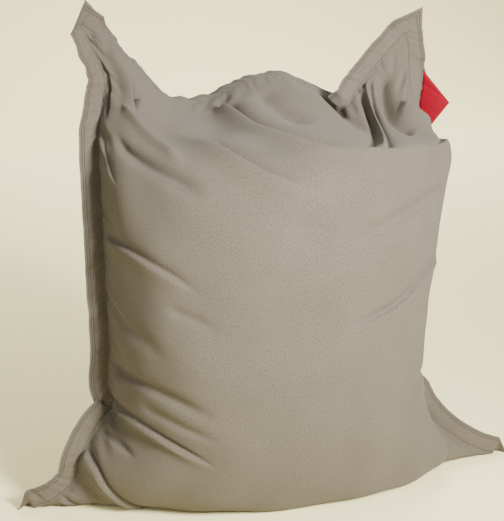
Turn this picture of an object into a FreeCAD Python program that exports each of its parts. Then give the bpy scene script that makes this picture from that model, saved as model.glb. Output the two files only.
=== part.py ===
"""Giant floor-cushion bean bag, standing on its short side as a chair.

A cover of two panels with a flat sewn hem holds a zipped liner, and the liner holds the beads.
Millimetres. +Z is up, the front faces -Y, and the origin is on the floor under the body's centre.
Each piece is written to parts/NAME.step as its own closed solid or group of solids.
"""
import FreeCAD
import Part
import math
import os

V = FreeCAD.Vector

# ---- driving dimensions: the filled body ----
ear_span = 1380.0         # floor ear tip to floor ear tip
ear_spread = 970.0        # top ear tip to top ear tip
ear_height = 1325.0       # top ear tips above the floor
base_width = 1030.0       # width of the face that rests on the floor
base_depth = 460.0        # depth of that face
skirt_width = 1110.0      # widest line of the slumped foot
skirt_height = 75.0
belly_width = 900.0       # width of the body over the belly band
belly_depth = 640.0
belly_bottom = 290.0      # the belly band is upright from here
belly_top = 470.0         # to here
zip_from_band_edge = 55.0 # each zip's height inside the belly band
waist_width = 904.0
waist_height = 640.0
waist_front_drop = 14.0   # how much less deep than the belly, ahead of the origin
waist_back_drop = 4.0
shoulder_width = 908.0
shoulder_height = 850.0
shoulder_front_drop = 58.0
shoulder_back_drop = 28.0
rim_height = 950.0        # crease where the filling ends at the front
rim_front_drop = 98.0
rim_back_drop = 52.0
crown_height = 1055.0     # top seam between the ears
crown_width = 500.0
rim_width = 874.0
brow_width = 818.0        # two sections between the rim and the crown
brow_back_drop = 76.0
temple_width = 672.0
temple_back_drop = 110.0
crown_half_depth = 12.0
brow_share = 0.42         # heights of two crown sections, as shares of the slope from rim to crown
temple_share = 0.78
side_share = 0.66         # a section's side radius, as a share of its half depth
row_spacing = 75.0        # between the sections of the wall
dome_rise = 14.0          # the beads' low dome above the rim, and its top as shares of the rim
dome_width_share = 0.75
dome_depth_share = 0.55
seam_at_ears = 205.0      # how far the side seams lean back at the top ear tips

# ---- driving dimensions: fabric, hem and stitching ----
hem_width = 50.0          # flat sewn margin outside the filled body
cover_wall = 2.0
liner_wall = 1.0
liner_gap = 6.0           # room between cover and liner
bead_clearance = 1.5      # between the liner and the beads
base_pad = 6.0            # cover base: one wall over the folded bottom hem

# ---- driving dimensions: zips, tag ----
cover_zip_angle = 33.0    # half the angle that the cover's zip covers
liner_zip_angle = 24.0
tape_width = 18.0
tape_thickness = 1.0
tape_clearance = 1.4      # between the wall and the tape behind it
coil_height = 2.6
coil_depth = 2.6
coil_gap = 1.6            # between the two coils, where the slider's post runs
slider_length = 13.0
slider_height = 8.8
slider_plate = 1.5
slider_clearance = 0.4
post_width = 0.9
crown_loop_length = 9.6
crown_loop_width = 2.4
crown_loop_bar = 1.0
crown_loop_room = 3.2     # height of the opening that the pull hangs in
pull_length = 32.0
pull_width = 8.0
pull_thickness = 1.4
stop_length = 3.0
tag_length = 140.0
tag_reach = 58.0
tag_thickness = 1.6
tag_centre_height = 1005.0
tag_clearance = 1.0       # room for the tag's thickness as it turns on its sewn edge

FAR = 2 * ear_span


class Row:
    """One level section of the body: a four-centred oval about the side seams.

    front and back are the depths ahead of and behind the origin. lift says how an inner copy's
    height moves: 1 is the base, -1 the crown, and 0 stays.
    """

    def __init__(self, height, width, front, back, lift):
        self.height = height
        self.half_width = width / 2
        self.seam_y = seam_at(height)
        self.front = front + self.seam_y   # depth ahead of the seam
        self.back = back - self.seam_y     # depth behind the seam
        self.lift = lift


def key_rows():
    """The cover's outer sections that set its shape, from the floor up."""
    half_belly = belly_depth / 2
    skirt_depth = (base_depth + belly_depth) / 4
    above_rim = crown_height - rim_height
    crown_y = seam_at(crown_height)
    rim_front = half_belly - rim_front_drop
    slope = rim_front + crown_y
    return [
        Row(0.0, base_width, base_depth / 2, base_depth / 2, 1),
        Row(skirt_height, skirt_width, skirt_depth, skirt_depth, 0),
        Row(belly_bottom, belly_width, half_belly, half_belly, 0),
        Row(belly_top, belly_width, half_belly, half_belly, 0),
        Row(waist_height, waist_width, half_belly - waist_front_drop,
            half_belly - waist_back_drop, 0),
        Row(shoulder_height, shoulder_width, half_belly - shoulder_front_drop,
            half_belly - shoulder_back_drop, 0),
        Row(rim_height, rim_width, rim_front, half_belly - rim_back_drop, -1),
        Row(rim_height + brow_share * above_rim, brow_width, rim_front - brow_share * slope,
            half_belly - brow_back_drop, -1),
        Row(rim_height + temple_share * above_rim, temple_width, rim_front - temple_share * slope,
            half_belly - temple_back_drop, -1),
        Row(crown_height, crown_width, crown_half_depth - crown_y, crown_half_depth + crown_y, -1),
    ]


def slopes(heights, values):
    """Slopes at the heights for a curve that never passes beyond its own points."""
    rises = [(values[i + 1] - values[i]) / (heights[i + 1] - heights[i]) for i in range(len(values) - 1)]
    found = [rises[0]]
    for before, after in zip_pairs(rises):
        found.append(2 * before * after / (before + after) if before * after > 0 else 0.0)
    return found + [rises[-1]]


def zip_pairs(items):
    return [(items[i], items[i + 1]) for i in range(len(items) - 1)]


def between(low, high, share, slope_low, slope_high, gap):
    """The cubic's value at that share of the gap from low to high."""
    t = share
    return ((1 + 2 * t) * (1 - t) ** 2 * low + t * (1 - t) ** 2 * gap * slope_low
            + t ** 2 * (3 - 2 * t) * high + t ** 2 * (t - 1) * gap * slope_high)


def body_rows():
    """The key sections with others between them, from the skirt to the rim, that keep the walls fair."""
    keys = key_rows()
    low, high = keys[:1], keys[7:]
    wall = keys[1:7]
    heights = [row.height for row in wall]
    measures = [[row.half_width for row in wall], [row.front - row.seam_y for row in wall],
                [row.back + row.seam_y for row in wall]]
    steep = [slopes(heights, values) for values in measures]
    rows = low
    for i, (row, after) in enumerate(zip_pairs(wall)):
        gap = after.height - row.height
        count = max(1, round(gap / row_spacing))
        for k in range(count):
            if k == 0:
                rows.append(row)
                continue
            half_width, front, back = [
                between(values[i], values[i + 1], k / count, slope[i], slope[i + 1], gap)
                for values, slope in zip(measures, steep)]
            rows.append(Row(row.height + gap * k / count, 2 * half_width, front, back, 0))
    return rows + [wall[-1]] + high


def oval(row, inset):
    """(side radius, front centre offset, front radius, back centre offset, back radius)."""
    side = side_share * min(row.front, row.back, row.half_width)
    half_width = row.half_width - inset
    side -= inset
    found = []
    for depth in (row.front - inset, row.back - inset):
        offset = ((half_width - side) ** 2 - (depth - side) ** 2) / (2 * (depth - side))
        found.append((offset, depth + offset))
    return side, found[0][0], found[0][1], found[1][0], found[1][1]


def spline_arc(centre, radius, start, end, points):
    """A smooth curve through equally spaced points of an arc, from the angle start to end."""
    steps = [start + (end - start) * i / (points - 1) for i in range(points)]
    places = [centre + V(math.cos(a), math.sin(a), 0) * radius for a in steps]
    curve = Part.BSplineCurve()
    curve.interpolate(Points=places, InitialTangent=V(-math.sin(start), math.cos(start), 0),
                      FinalTangent=V(-math.sin(end), math.cos(end), 0))
    return curve.toShape()


def section_wire(row, inset, height):
    """The oval at that height, of four tangent arcs. The side seams cross the middles of two of them."""
    side, front_off, front_r, back_off, back_r = oval(row, inset)
    middle = row.half_width - inset - side
    front_turn = math.atan2(middle, front_off)   # half the angle of the front arc
    back_turn = math.atan2(middle, back_off)
    up = math.pi / 2
    right = V(middle, row.seam_y, height)
    left = V(-middle, row.seam_y, height)
    front = V(0, row.seam_y + front_off, height)
    back = V(0, row.seam_y - back_off, height)
    return Part.Wire([
        spline_arc(right, side, front_turn - up, up - back_turn, 7),
        spline_arc(back, back_r, up - back_turn, up + back_turn, 9),
        spline_arc(left, side, up + back_turn, 3 * up - front_turn, 7),
        spline_arc(front, front_r, 3 * up - front_turn, 3 * up + front_turn, 9),
    ])


def body_solid(inset, floor, rows=None):
    """The body's solid, taken in by inset all round, with its base at the height floor.

    The wall is fair from the floor to the rim, and the crown above the rim starts at a crease.
    """
    rows = rows or body_rows()
    wires = []
    for row in rows:
        height = row.height + (floor if row.lift == 1 else 0.0)
        if row.lift == -1:
            height -= inset
        wires.append(section_wire(row, inset, height))
    rim = [row.lift for row in rows].index(-1)
    wall = Part.makeLoft(wires[:rim + 1], True, False)
    crown = Part.makeLoft(wires[rim:], True, False)
    return wall.fuse(crown)


def seam_poles():
    """The side seams' upper line in the YZ plane, as four poles: upright, then leaning back."""
    return [(0.0, belly_top), (0.0, rim_height), (0.93 * seam_at_ears, rim_height + 60.0),
            (seam_at_ears + 7.0, ear_height + 120.0)]


def seam_at(height):
    """The side seams' y at that height."""
    low, high = 0.0, 1.0
    if height <= belly_top:
        return 0.0
    for _ in range(40):
        t = (low + high) / 2
        weights = ((1 - t) ** 3, 3 * t * (1 - t) ** 2, 3 * t ** 2 * (1 - t), t ** 3)
        y, z = [sum(w * pole[i] for w, pole in zip(weights, seam_poles())) for i in (0, 1)]
        if z < height:
            low = t
        else:
            high = t
    return y


def seam_edges(shift):
    """The side seams' whole line in the YZ plane, moved along Y by shift, from below the floor up."""
    curve = Part.BezierCurve()
    curve.setPoles([V(-FAR / 2, y + shift, z) for y, z in seam_poles()])
    foot = Part.makeLine(V(-FAR / 2, shift, -60.0), V(-FAR / 2, shift, belly_top))
    return [foot, curve.toShape()]


def across(edges):
    """The closed YZ outline made into a solid that spans the whole width."""
    wire = Part.Wire(Part.__sortEdges__(edges))
    return Part.Face(wire).extrude(V(FAR, 0, 0))


def seam_slab(front, back):
    """The sheet between two copies of the seam line, at y offsets front and back."""
    low = seam_edges(front)
    high = seam_edges(back)
    ends = [Part.makeLine(low[0].Vertexes[0].Point, high[0].Vertexes[0].Point),
            Part.makeLine(low[1].Vertexes[-1].Point, high[1].Vertexes[-1].Point)]
    return across(low + high + ends)


def rounded_wire(corners):
    """A closed XZ wire of straight runs and tangent arcs, from (x, z, radius) corners."""
    edges = []
    n = len(corners)
    legs = []
    for i, (x, z, radius) in enumerate(corners):
        here = V(x, 0, z)
        before = V(corners[i - 1][0], 0, corners[i - 1][1]) - here
        after = V(corners[(i + 1) % n][0], 0, corners[(i + 1) % n][1]) - here
        length_before, length_after = before.Length, after.Length
        before.normalize()
        after.normalize()
        half = before.getAngle(after) / 2
        reach = min(radius / math.tan(half), 0.48 * length_before, 0.48 * length_after)
        radius = reach * math.tan(half)
        bisector = before + after
        if bisector.Length < 1e-6 or radius < 0.05:
            legs.append((here, here, here))
            continue
        bisector.normalize()
        centre = here + bisector * (radius / math.sin(half))
        legs.append((here + before * reach, centre - bisector * radius, here + after * reach))
    for i, (start, middle, end) in enumerate(legs):
        if (start - end).Length > 1e-6:
            edges.append(Part.Arc(start, middle, end).toShape())
        edges.append(Part.makeLine(end, legs[(i + 1) % n][0]))
    return Part.Wire(edges)


def hem_corners():
    """The hem's outer edge as corners (x, z, radius), all the way round from the left floor ear."""
    skirt, belly_low, belly_high, waist, shoulder, rim = key_rows()[1:7]
    ear_rise = 6.0
    right = [
        (ear_span / 2, 0.0, 3.0),
        (ear_span / 2, ear_rise, 3.0),
        (skirt.half_width + hem_width * 0.9, skirt.height + 0.6 * hem_width, 90.0),
        (skirt.half_width - 25.0, (skirt.height + belly_low.height) / 2 + 20.0, 120.0),
        (belly_low.half_width + hem_width, belly_low.height + 40.0, 160.0),
        (waist.half_width + hem_width, waist.height, 400.0),
        (shoulder.half_width + hem_width, shoulder.height, 400.0),
        (rim.half_width + hem_width, rim.height + 40.0, 160.0),
        (ear_spread / 2 + 6.0, (rim.height + ear_height) / 2 + 30.0, 200.0),
        (ear_spread / 2, ear_height, 6.0),
        (ear_spread / 2 - 100.0, ear_height - 95.0, 120.0),
        (crown_width / 2 + 15.0, crown_height + 0.9 * hem_width, 90.0),
        (crown_width / 4, crown_height + hem_width, 120.0),
    ]
    return right + [(-x, z, radius) for x, z, radius in reversed(right)]


def hem_prism():
    """Everything inside the hem's outer edge, right through the bag."""
    face = Part.Face(rounded_wire(hem_corners()))
    face.translate(V(0, -FAR / 2, 0))
    return face.extrude(V(0, FAR, 0))


def ahead_of_seam():
    """Half space ahead of the seam surface."""
    seam = seam_edges(0.0)
    bottom, top = seam[0].Vertexes[0].Point, seam[1].Vertexes[-1].Point
    far_bottom, far_top = V(bottom.x, -FAR, bottom.z), V(top.x, -FAR, top.z)
    return across(seam + [Part.makeLine(top, far_top), Part.makeLine(far_top, far_bottom),
                          Part.makeLine(far_bottom, bottom)])


def sector(radius_in, radius_out, z_low, z_high, angle_from, angle_to, centre_y):
    """Part of a ring about the upright axis at (0, centre_y). Angles run from +Y towards +X."""
    def at(radius, angle):
        a = math.radians(angle)
        return V(radius * math.sin(a), centre_y + radius * math.cos(a), z_low)

    middle = (angle_from + angle_to) / 2
    edges = [
        Part.Arc(at(radius_out, angle_from), at(radius_out, middle), at(radius_out, angle_to)).toShape(),
        Part.makeLine(at(radius_out, angle_to), at(radius_in, angle_to)),
        Part.Arc(at(radius_in, angle_to), at(radius_in, middle), at(radius_in, angle_from)).toShape(),
        Part.makeLine(at(radius_in, angle_from), at(radius_out, angle_from)),
    ]
    return Part.Face(Part.Wire(edges)).extrude(V(0, 0, z_high - z_low))


class Zip:
    """A coil zip on a round wall: its tapes, coils, stops and slider share these places."""

    def __init__(self, height, face_radius, wall, centre_y, half_angle):
        self.z = height
        self.face = face_radius
        self.wall = wall
        self.centre_y = centre_y
        self.half_angle = half_angle
        self.tape_out = face_radius - wall - tape_clearance
        self.tape_in = self.tape_out - tape_thickness
        middle = (self.tape_out + self.tape_in) / 2
        self.coil_out = middle + coil_depth / 2
        self.coil_in = middle - coil_depth / 2
        self.coil_edge = coil_gap / 2 + coil_height
        self.plate_out = self.coil_out + slider_clearance
        self.plate_in = self.coil_in - slider_clearance
        self.slot_half = slider_height / 2 + slider_clearance
        self.rest_angle = half_angle - self.turn(stop_length + slider_length / 2 + 1.0)

    def turn(self, length):
        """The angle that an arc of that length covers."""
        return math.degrees(length / self.face)

    def ring(self, inner, outer, low, high, start, end):
        return sector(inner, outer, self.z + low, self.z + high, start, end, self.centre_y)

    def tape(self, sign):
        low, high = sorted((sign * self.coil_edge, sign * (self.coil_edge + tape_width)))
        edge = self.half_angle + self.turn(12.0)
        return self.ring(self.tape_in, self.tape_out, low, high, -edge, edge)

    def coil(self, sign):
        low, high = sorted((sign * coil_gap / 2, sign * self.coil_edge))
        edge = self.half_angle - self.turn(stop_length)
        return self.ring(self.coil_in, self.coil_out, low, high, -edge, edge)

    def stops(self):
        inner = self.half_angle - self.turn(stop_length)
        high = self.coil_edge
        return Part.Compound([
            self.ring(self.coil_in, self.coil_out, -high, high, inner, self.half_angle),
            self.ring(self.coil_in, self.coil_out, -high, high, -self.half_angle, -inner),
        ])

    def slot(self):
        """The slot in the wall that the coils and the slider lie in."""
        depth = self.wall + 40.0
        return self.ring(self.face - depth, self.face + depth, -self.slot_half, self.slot_half,
                         -self.half_angle, self.half_angle)

    def slider(self, with_loop):
        half = self.turn(slider_length / 2)
        at = self.rest_angle
        z = slider_height / 2
        lip = z - 0.7
        outer = self.ring(self.plate_out, self.plate_out + slider_plate, -z, z, at - half, at + half)
        inner = self.ring(self.plate_in - slider_plate, self.plate_in, -z, z, at - half, at + half)
        post = self.ring(self.plate_in - 0.2, self.plate_out + 0.2, -post_width / 2, post_width / 2,
                         at - half + self.turn(0.5), at - half + self.turn(3.5))
        body = outer.fuse([inner, post])
        gap = slider_clearance * 0.75
        for low, high in ((-z, -lip), (lip, z)):
            body = body.fuse(self.ring(self.tape_out + gap, self.plate_out + 0.2, low, high,
                                       at - half, at + half))
            body = body.fuse(self.ring(self.plate_in - 0.2, self.tape_in - gap, low, high,
                                       at - half, at + half))
        if with_loop:
            body = body.fuse(self.loop())
        return body.removeSplitter()

    def loop(self):
        """The bridge on the slider that the pull hangs on."""
        foot = self.plate_out + slider_plate
        half = self.turn(crown_loop_length / 2)
        room = crown_loop_room
        wide = crown_loop_width / 2
        bar = crown_loop_bar
        outer = self.ring(foot - 0.2, foot + room + bar, -wide, wide,
                          self.rest_angle - half, self.rest_angle + half)
        inner_half = half - self.turn(bar)
        hole = self.ring(foot, foot + room, -wide - 1, wide + 1,
                         self.rest_angle - inner_half, self.rest_angle + inner_half)
        return outer.cut(hole)

    def pivot_radius(self):
        """Where the pull turns: just inside the bridge's bar."""
        return self.plate_out + slider_plate + crown_loop_room - slider_clearance - pull_thickness / 2

    def pull(self):
        """The pull tab, made along +X about the origin, then set on the slider."""
        half = pull_thickness / 2
        start = crown_loop_length / 2 + 1.2
        arm = crown_loop_width / 2 + slider_clearance
        outside = pull_width / 2
        neck = arm + 1.6
        eye = Part.makeCylinder(half, 2 * neck, V(0, 0, -neck))
        arms = Part.makeBox(start + 2.0, pull_thickness, 2 * neck, V(0, -half, -neck))
        arms = arms.cut(Part.makeBox(start + FAR, pull_thickness * 2, 2 * arm, V(-FAR, -pull_thickness, -arm)))
        tab = Part.makeBox(pull_length - start - outside, pull_thickness, pull_width, V(start, -half, -outside))
        end = Part.makeCylinder(outside, pull_thickness, V(pull_length - outside, -half, 0), V(0, 1, 0))
        hole = Part.makeCylinder(outside * 0.45, pull_thickness * 2,
                                 V(pull_length - outside, -pull_thickness, 0), V(0, 1, 0))
        tab = eye.fuse([arms, tab, end]).cut(hole).removeSplitter()
        tab.rotate(V(0, 0, 0), V(0, 0, 1), -self.rest_angle)
        a = math.radians(self.rest_angle)
        radius = self.pivot_radius()
        tab.translate(V(radius * math.sin(a), self.centre_y + radius * math.cos(a), self.z))
        return tab


def belly_row():
    return key_rows()[2]


def back_axis():
    """(y of the upright axis of the belly band's back, its outer radius)."""
    row = belly_row()
    _, _, _, offset, radius = oval(row, 0.0)
    return row.seam_y - offset, radius


def cover_zip():
    centre_y, radius = back_axis()
    return Zip(belly_bottom + zip_from_band_edge, radius, cover_wall, centre_y, cover_zip_angle)


def liner_zip():
    centre_y, radius = back_axis()
    return Zip(belly_top - zip_from_band_edge, radius - cover_wall - liner_gap, liner_wall, centre_y, liner_zip_angle)


def bottom_hem_cut():
    """The groove in the base that the folded bottom hem lies in."""
    reach = base_width / 2 - 12.0
    return Part.makeBox(2 * reach, hem_width + 1.0, base_pad - cover_wall, V(-reach, -0.5, 0))


def bottom_hem():
    """The bottom margin of both panels, folded back flat under the base, as two layers."""
    reach = base_width / 2 - 12.5
    layer = (base_pad - cover_wall) / 2
    return Part.Compound([
        Part.makeBox(2 * reach, hem_width, layer, V(-reach, 0, level * layer)) for level in (0, 1)
    ])


def cover_panels():
    """The front and back panel, each a half of the cover with its own layer of the hem."""
    outer = body_solid(0.0, 0.0)
    room = body_solid(cover_wall, base_pad)
    slab = seam_slab(-cover_wall, cover_wall).common(hem_prism())
    shell = outer.fuse(slab).cut(room).cut(bottom_hem_cut())
    front_space = ahead_of_seam()
    front = shell.common(front_space)
    back = shell.cut(front_space).cut(cover_zip().slot())
    return biggest(front), biggest(back)


def liner_panels():
    inset = cover_wall + liner_gap
    rows = body_rows()[:-1]   # the liner stops short of the flat crown
    outer = body_solid(inset, base_pad, rows)
    room = body_solid(inset + liner_wall, base_pad + liner_wall, rows)
    shell = outer.cut(room)
    front_space = ahead_of_seam()
    front = shell.common(front_space)
    back = shell.cut(front_space).cut(liner_zip().slot())
    return biggest(front), biggest(back)


def bead_fill():
    """The heap of beads: it ends in a low dome at the rim, and leaves the crown slack."""
    inset = cover_wall + liner_gap + liner_wall + bead_clearance
    rows = body_rows()[:-3]
    dome = key_rows()[6]
    dome.height = rim_height + dome_rise
    dome.half_width *= dome_width_share
    dome.front *= dome_depth_share
    dome.back *= dome_depth_share
    heap = body_solid(inset, base_pad + liner_wall + bead_clearance, rows + [dome])
    z = liner_zip()
    edge = z.half_angle + z.turn(14.0)
    high = z.coil_edge + tape_width + 2.0
    groove = z.ring(z.face - 10.0, z.face + 10.0, -high, high, -edge, edge)
    return biggest(heap.cut(groove))


def tag_frame():
    """(point, along, outwards, normal) of the tag's sewn edge, beside the right-hand hem."""
    low = edge_point(tag_centre_height - tag_length / 2)
    high = edge_point(tag_centre_height + tag_length / 2)
    along = (high - low).normalize()
    outwards = V(1, 0, 0) - along * along.x
    outwards.normalize()
    point = (low + high) / 2 + outwards * tag_clearance
    return point, along, outwards, outwards.cross(along)


def edge_point(height):
    """The hem's outer edge at that height, on the right-hand side."""
    level = Part.makeLine(V(0, 0, height), V(FAR, 0, height))
    x = rounded_wire(hem_corners()).distToShape(level)[1][0][0].x
    return V(x, seam_at(height), height)


def side_tag():
    """A folded label sewn to the right-hand hem's edge, with its point outwards."""
    point, along, outwards, normal = tag_frame()
    corners = [(0.0, tag_length / 2, 1.5), (tag_reach, -0.17 * tag_length, 3.0), (0.0, -tag_length / 2, 1.5)]
    tag = Part.Face(rounded_wire(corners)).extrude(V(0, tag_thickness, 0))
    tag.translate(V(0, -tag_thickness / 2, 0))
    placed = FreeCAD.Matrix(outwards.x, -normal.x, along.x, point.x,
                            outwards.y, -normal.y, along.y, point.y,
                            outwards.z, -normal.z, along.z, point.z,
                            0, 0, 0, 1)
    tag.Placement = FreeCAD.Placement(placed).multiply(tag.Placement)
    return tag


def biggest(shape):
    """The largest solid, without slivers that a cut leaves."""
    return max(shape.Solids, key=lambda s: s.Volume)


def build():
    front, back = cover_panels()
    liner_front, liner_back = liner_panels()
    outer_zip, inner_zip = cover_zip(), liner_zip()
    pieces = {
        "cover_front_panel": front,
        "cover_back_panel": back,
        "bottom_hem": bottom_hem(),
        "side_tag": side_tag(),
        "liner_front_panel": liner_front,
        "liner_back_panel": liner_back,
        "bead_filling": bead_fill(),
        "cover_zip_pull": outer_zip.pull(),
    }
    for name, made in (("cover", outer_zip), ("liner", inner_zip)):
        pieces[f"{name}_zip_tape_upper"] = made.tape(1)
        pieces[f"{name}_zip_tape_lower"] = made.tape(-1)
        pieces[f"{name}_zip_coil_upper"] = made.coil(1)
        pieces[f"{name}_zip_coil_lower"] = made.coil(-1)
        pieces[f"{name}_zip_end_stops"] = made.stops()
        pieces[f"{name}_zip_slider"] = made.slider(made is outer_zip)
    return pieces


os.makedirs("parts", exist_ok=True)
for name, shape in build().items():
    print(name, shape.isValid(), len(shape.Solids), round(shape.Volume), flush=True)
    shape.exportStep(f"parts/{name}.step")
axis_y, axis_radius = back_axis()
print("zip axis y", round(axis_y, 3), "radius", round(axis_radius, 3))
print("cover slider rest", round(cover_zip().rest_angle, 3), "height", cover_zip().z,
      "pivot radius", round(cover_zip().pivot_radius(), 3))
print("liner slider rest", round(liner_zip().rest_angle, 3), "height", liner_zip().z)
print("tag edge", [round(c, 4) for c in tag_frame()[0]], "along", [round(c, 5) for c in tag_frame()[1]])
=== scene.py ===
"""Looks of the bean bag chair, in metres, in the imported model's frame.

The cover is two equal cloth panels, sewn together all round with a flat hem outside the seam. A panel
is a grid in cut coordinates: u runs across it and v up it, from its bottom seam, in metres of cloth.
"""
import math

import bpy
import numpy as np
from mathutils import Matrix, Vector


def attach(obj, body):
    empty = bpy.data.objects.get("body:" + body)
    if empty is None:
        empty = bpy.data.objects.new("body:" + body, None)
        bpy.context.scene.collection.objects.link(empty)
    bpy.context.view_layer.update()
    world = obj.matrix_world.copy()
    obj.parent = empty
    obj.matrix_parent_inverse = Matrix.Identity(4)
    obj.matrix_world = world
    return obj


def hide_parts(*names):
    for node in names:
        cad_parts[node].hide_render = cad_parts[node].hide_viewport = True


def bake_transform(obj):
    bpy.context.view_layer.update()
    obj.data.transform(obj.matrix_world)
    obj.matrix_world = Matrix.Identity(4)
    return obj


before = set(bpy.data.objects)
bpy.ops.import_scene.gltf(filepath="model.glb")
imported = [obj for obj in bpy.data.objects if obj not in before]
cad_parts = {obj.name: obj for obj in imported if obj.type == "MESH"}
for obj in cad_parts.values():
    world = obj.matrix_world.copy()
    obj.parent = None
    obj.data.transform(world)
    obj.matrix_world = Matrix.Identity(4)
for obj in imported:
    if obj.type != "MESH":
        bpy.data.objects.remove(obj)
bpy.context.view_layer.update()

# ---- the cut of the cloth ----
PANEL_WIDTH = 1.30      # seam to seam
PANEL_HEIGHT = 1.70
HEM = 0.05              # flat margin outside the seam
CELLS_ACROSS = 78
CELLS_UP = 102
HEM_CELLS = 3
HALF = PANEL_WIDTH / 2
RIM_V = 1.21            # where the front wall turns into the slack crown
FINE = 4                # fine cells for each cell that settles

# ---- how the cloth settles ----
PIN_STIFFNESS = 1.0
HOLD = 0.25             # how strongly a point is drawn to where it was laid
SPARE_LEAST = 0.002     # spare cloth as a share of its length, where the bag is fullest
SPARE_MOST = 0.07       # and where the seams gather it
FRAMES = 24

# ---- the zips, which lie on arcs about one upright axis ----
ZIP_AXIS_Y = -0.207665
SLOT_HALF = 0.0048      # half the gap between a zip's two edges of cloth
COVER_ZIP = (0.345, 0.5276, math.radians(33))       # height, radius of the cloth, half angle
LINER_ZIP = (0.415, 0.5188, math.radians(24))

ZIP_REACH = 0.030       # how far above and below its slot the cloth is pressed apart
ZIP_ACROSS = (0.03, 0.25)       # angles past the zip's end over which the cloth leaves its arc
ZIP_UPWARD = (0.095, 0.180)     # heights above and below it over which it does

LINER_INSET = 0.036     # how far the liner lies inside the cover, and the beads
BEAD_INSET = 0.046
LINER_ROWS = (3, 72)    # the cover's rows, from the bottom seam, that each lies behind
BEAD_ROWS = (5, 66)
LINED_COLUMNS = 5       # columns that it leaves free beside each side seam

LAYER = 0.0011          # half the distance between the hem's two layers
LEAST_ROOM = 0.006      # between the panels above the rim
LOWEST = 0.0015         # no cloth goes below this height

# ---- colours and light ----
CANVAS = (0.081, 0.068, 0.049)
THREAD = (0.040, 0.033, 0.024)
WORN = (0.14, 0.121, 0.092)
THREAD_PITCH = 0.0012
STITCH_ROWS = (0.007, 0.0125, 0.047)    # distances inside the hem's outer edge
STITCH_LENGTH = 0.0036
PAPER = (0.90, 0.82, 0.42)
SKY = (1.0, 0.97, 0.88)
SKY_STRENGTH = 0.48
LAMPS = (               # (name, place, what it is aimed at, power, size, spread in degrees)
    ("key_light", (1.2, -3.3, 2.1), (0.05, 0.0, 0.74), 105, 1.0, 66),
    ("fill_light", (-3.0, -2.2, 1.8), (0.0, 0.0, 0.6), 75, 2.5, 180),
    ("backdrop_light", (2.4, 5.4, 7.5), (2.0, 5.6, 0.0), 560, 5.0, 100),
)

FLOOR_FRONT, FLOOR_BACK = -6.0, 6.4     # the level part of the backdrop, along y
CURVE_RADIUS = 2.4
BACKDROP_TOP = 9.0
BACKDROP_HALF_WIDTH = 9

CAMERA_AZIMUTH = -17    # degrees
CAMERA_ELEVATION = 14
CAMERA_DISTANCE = 3.40
CAMERA_TARGET = (-0.07, 0.0, 0.62)
CAMERA_LENS = 92        # mm, on a sensor this wide
CAMERA_SENSOR = 36

# ---- where the cloth lies: each line is (v, x, y, z) ----
LEFT_SEAM = [
    (0.00, -0.645, 0.025, 0.018),
    (0.08, -0.590, 0.005, 0.045),
    (0.15, -0.542, 0.000, 0.090),
    (0.22, -0.526, -0.005, 0.150),
    (0.32, -0.484, 0.000, 0.225),
    (0.43, -0.434, 0.010, 0.283),
    (0.50, -0.447, 0.010, 0.335),
    (0.60, -0.442, 0.005, 0.425),
    (0.80, -0.446, 0.010, 0.590),
    (1.00, -0.448, 0.020, 0.760),
    (1.15, -0.448, 0.040, 0.880),
    (1.26, -0.440, 0.080, 0.965),
    (1.36, -0.420, 0.120, 1.035),
    (1.48, -0.410, 0.150, 1.095),
    (1.60, -0.432, 0.175, 1.160),
    (1.70, -0.458, 0.190, 1.220),
]
RIGHT_SEAM = [
    (0.00, 0.645, 0.015, 0.014),
    (0.10, 0.575, 0.010, 0.045),
    (0.20, 0.495, 0.020, 0.100),
    (0.32, 0.426, 0.030, 0.180),
    (0.45, 0.380, 0.040, 0.300),
    (0.60, 0.376, 0.050, 0.430),
    (0.80, 0.398, 0.050, 0.600),
    (1.00, 0.430, 0.055, 0.760),
    (1.15, 0.444, 0.070, 0.870),
    (1.26, 0.436, 0.095, 0.940),
    (1.37, 0.418, 0.122, 1.005),
    (1.52, 0.418, 0.160, 1.080),
    (1.64, 0.420, 0.175, 1.145),
    (1.70, 0.415, 0.178, 1.180),
]
FRONT_MIDDLE = [
    (0.00, 0.000, 0.020, 0.006),
    (0.12, 0.000, -0.100, 0.006),
    (0.20, 0.000, -0.170, 0.018),
    (0.29, 0.000, -0.235, 0.075),
    (0.42, 0.000, -0.285, 0.190),
    (0.60, 0.000, -0.305, 0.370),
    (0.80, 0.000, -0.300, 0.565),
    (1.00, 0.000, -0.270, 0.760),
    (1.14, 0.000, -0.225, 0.890),
    (1.24, 0.000, -0.165, 0.955),
]
BACK_MIDDLE = [
    (0.00, 0.000, 0.020, 0.006),
    (0.15, 0.000, 0.165, 0.006),
    (0.23, 0.000, 0.225, 0.030),
    (0.33, 0.000, 0.270, 0.110),
    (0.50, 0.000, 0.300, 0.270),
    (0.70, 0.000, 0.310, 0.460),
    (0.95, 0.000, 0.305, 0.680),
    (1.14, 0.000, 0.290, 0.840),
    (1.24, 0.000, 0.275, 0.920),
]
# The top seam from the left ear to the right one: (u, x, y, z).
TOP_SEAM = [
    (-0.65, -0.458, 0.190, 1.220),
    (-0.58, -0.424, 0.193, 1.196),
    (-0.50, -0.376, 0.197, 1.168),
    (-0.40, -0.310, 0.202, 1.106),
    (-0.30, -0.226, 0.215, 1.022),
    (-0.18, -0.130, 0.238, 1.008),
    (-0.08, -0.050, 0.245, 1.040),
    (0.02, 0.030, 0.245, 1.068),
    (0.11, 0.110, 0.240, 1.068),
    (0.17, 0.168, 0.225, 1.036),
    (0.22, 0.204, 0.180, 0.985),
    (0.30, 0.232, 0.145, 0.998),
    (0.42, 0.280, 0.160, 1.047),
    (0.54, 0.352, 0.172, 1.122),
    (0.65, 0.415, 0.178, 1.180),
]
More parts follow.
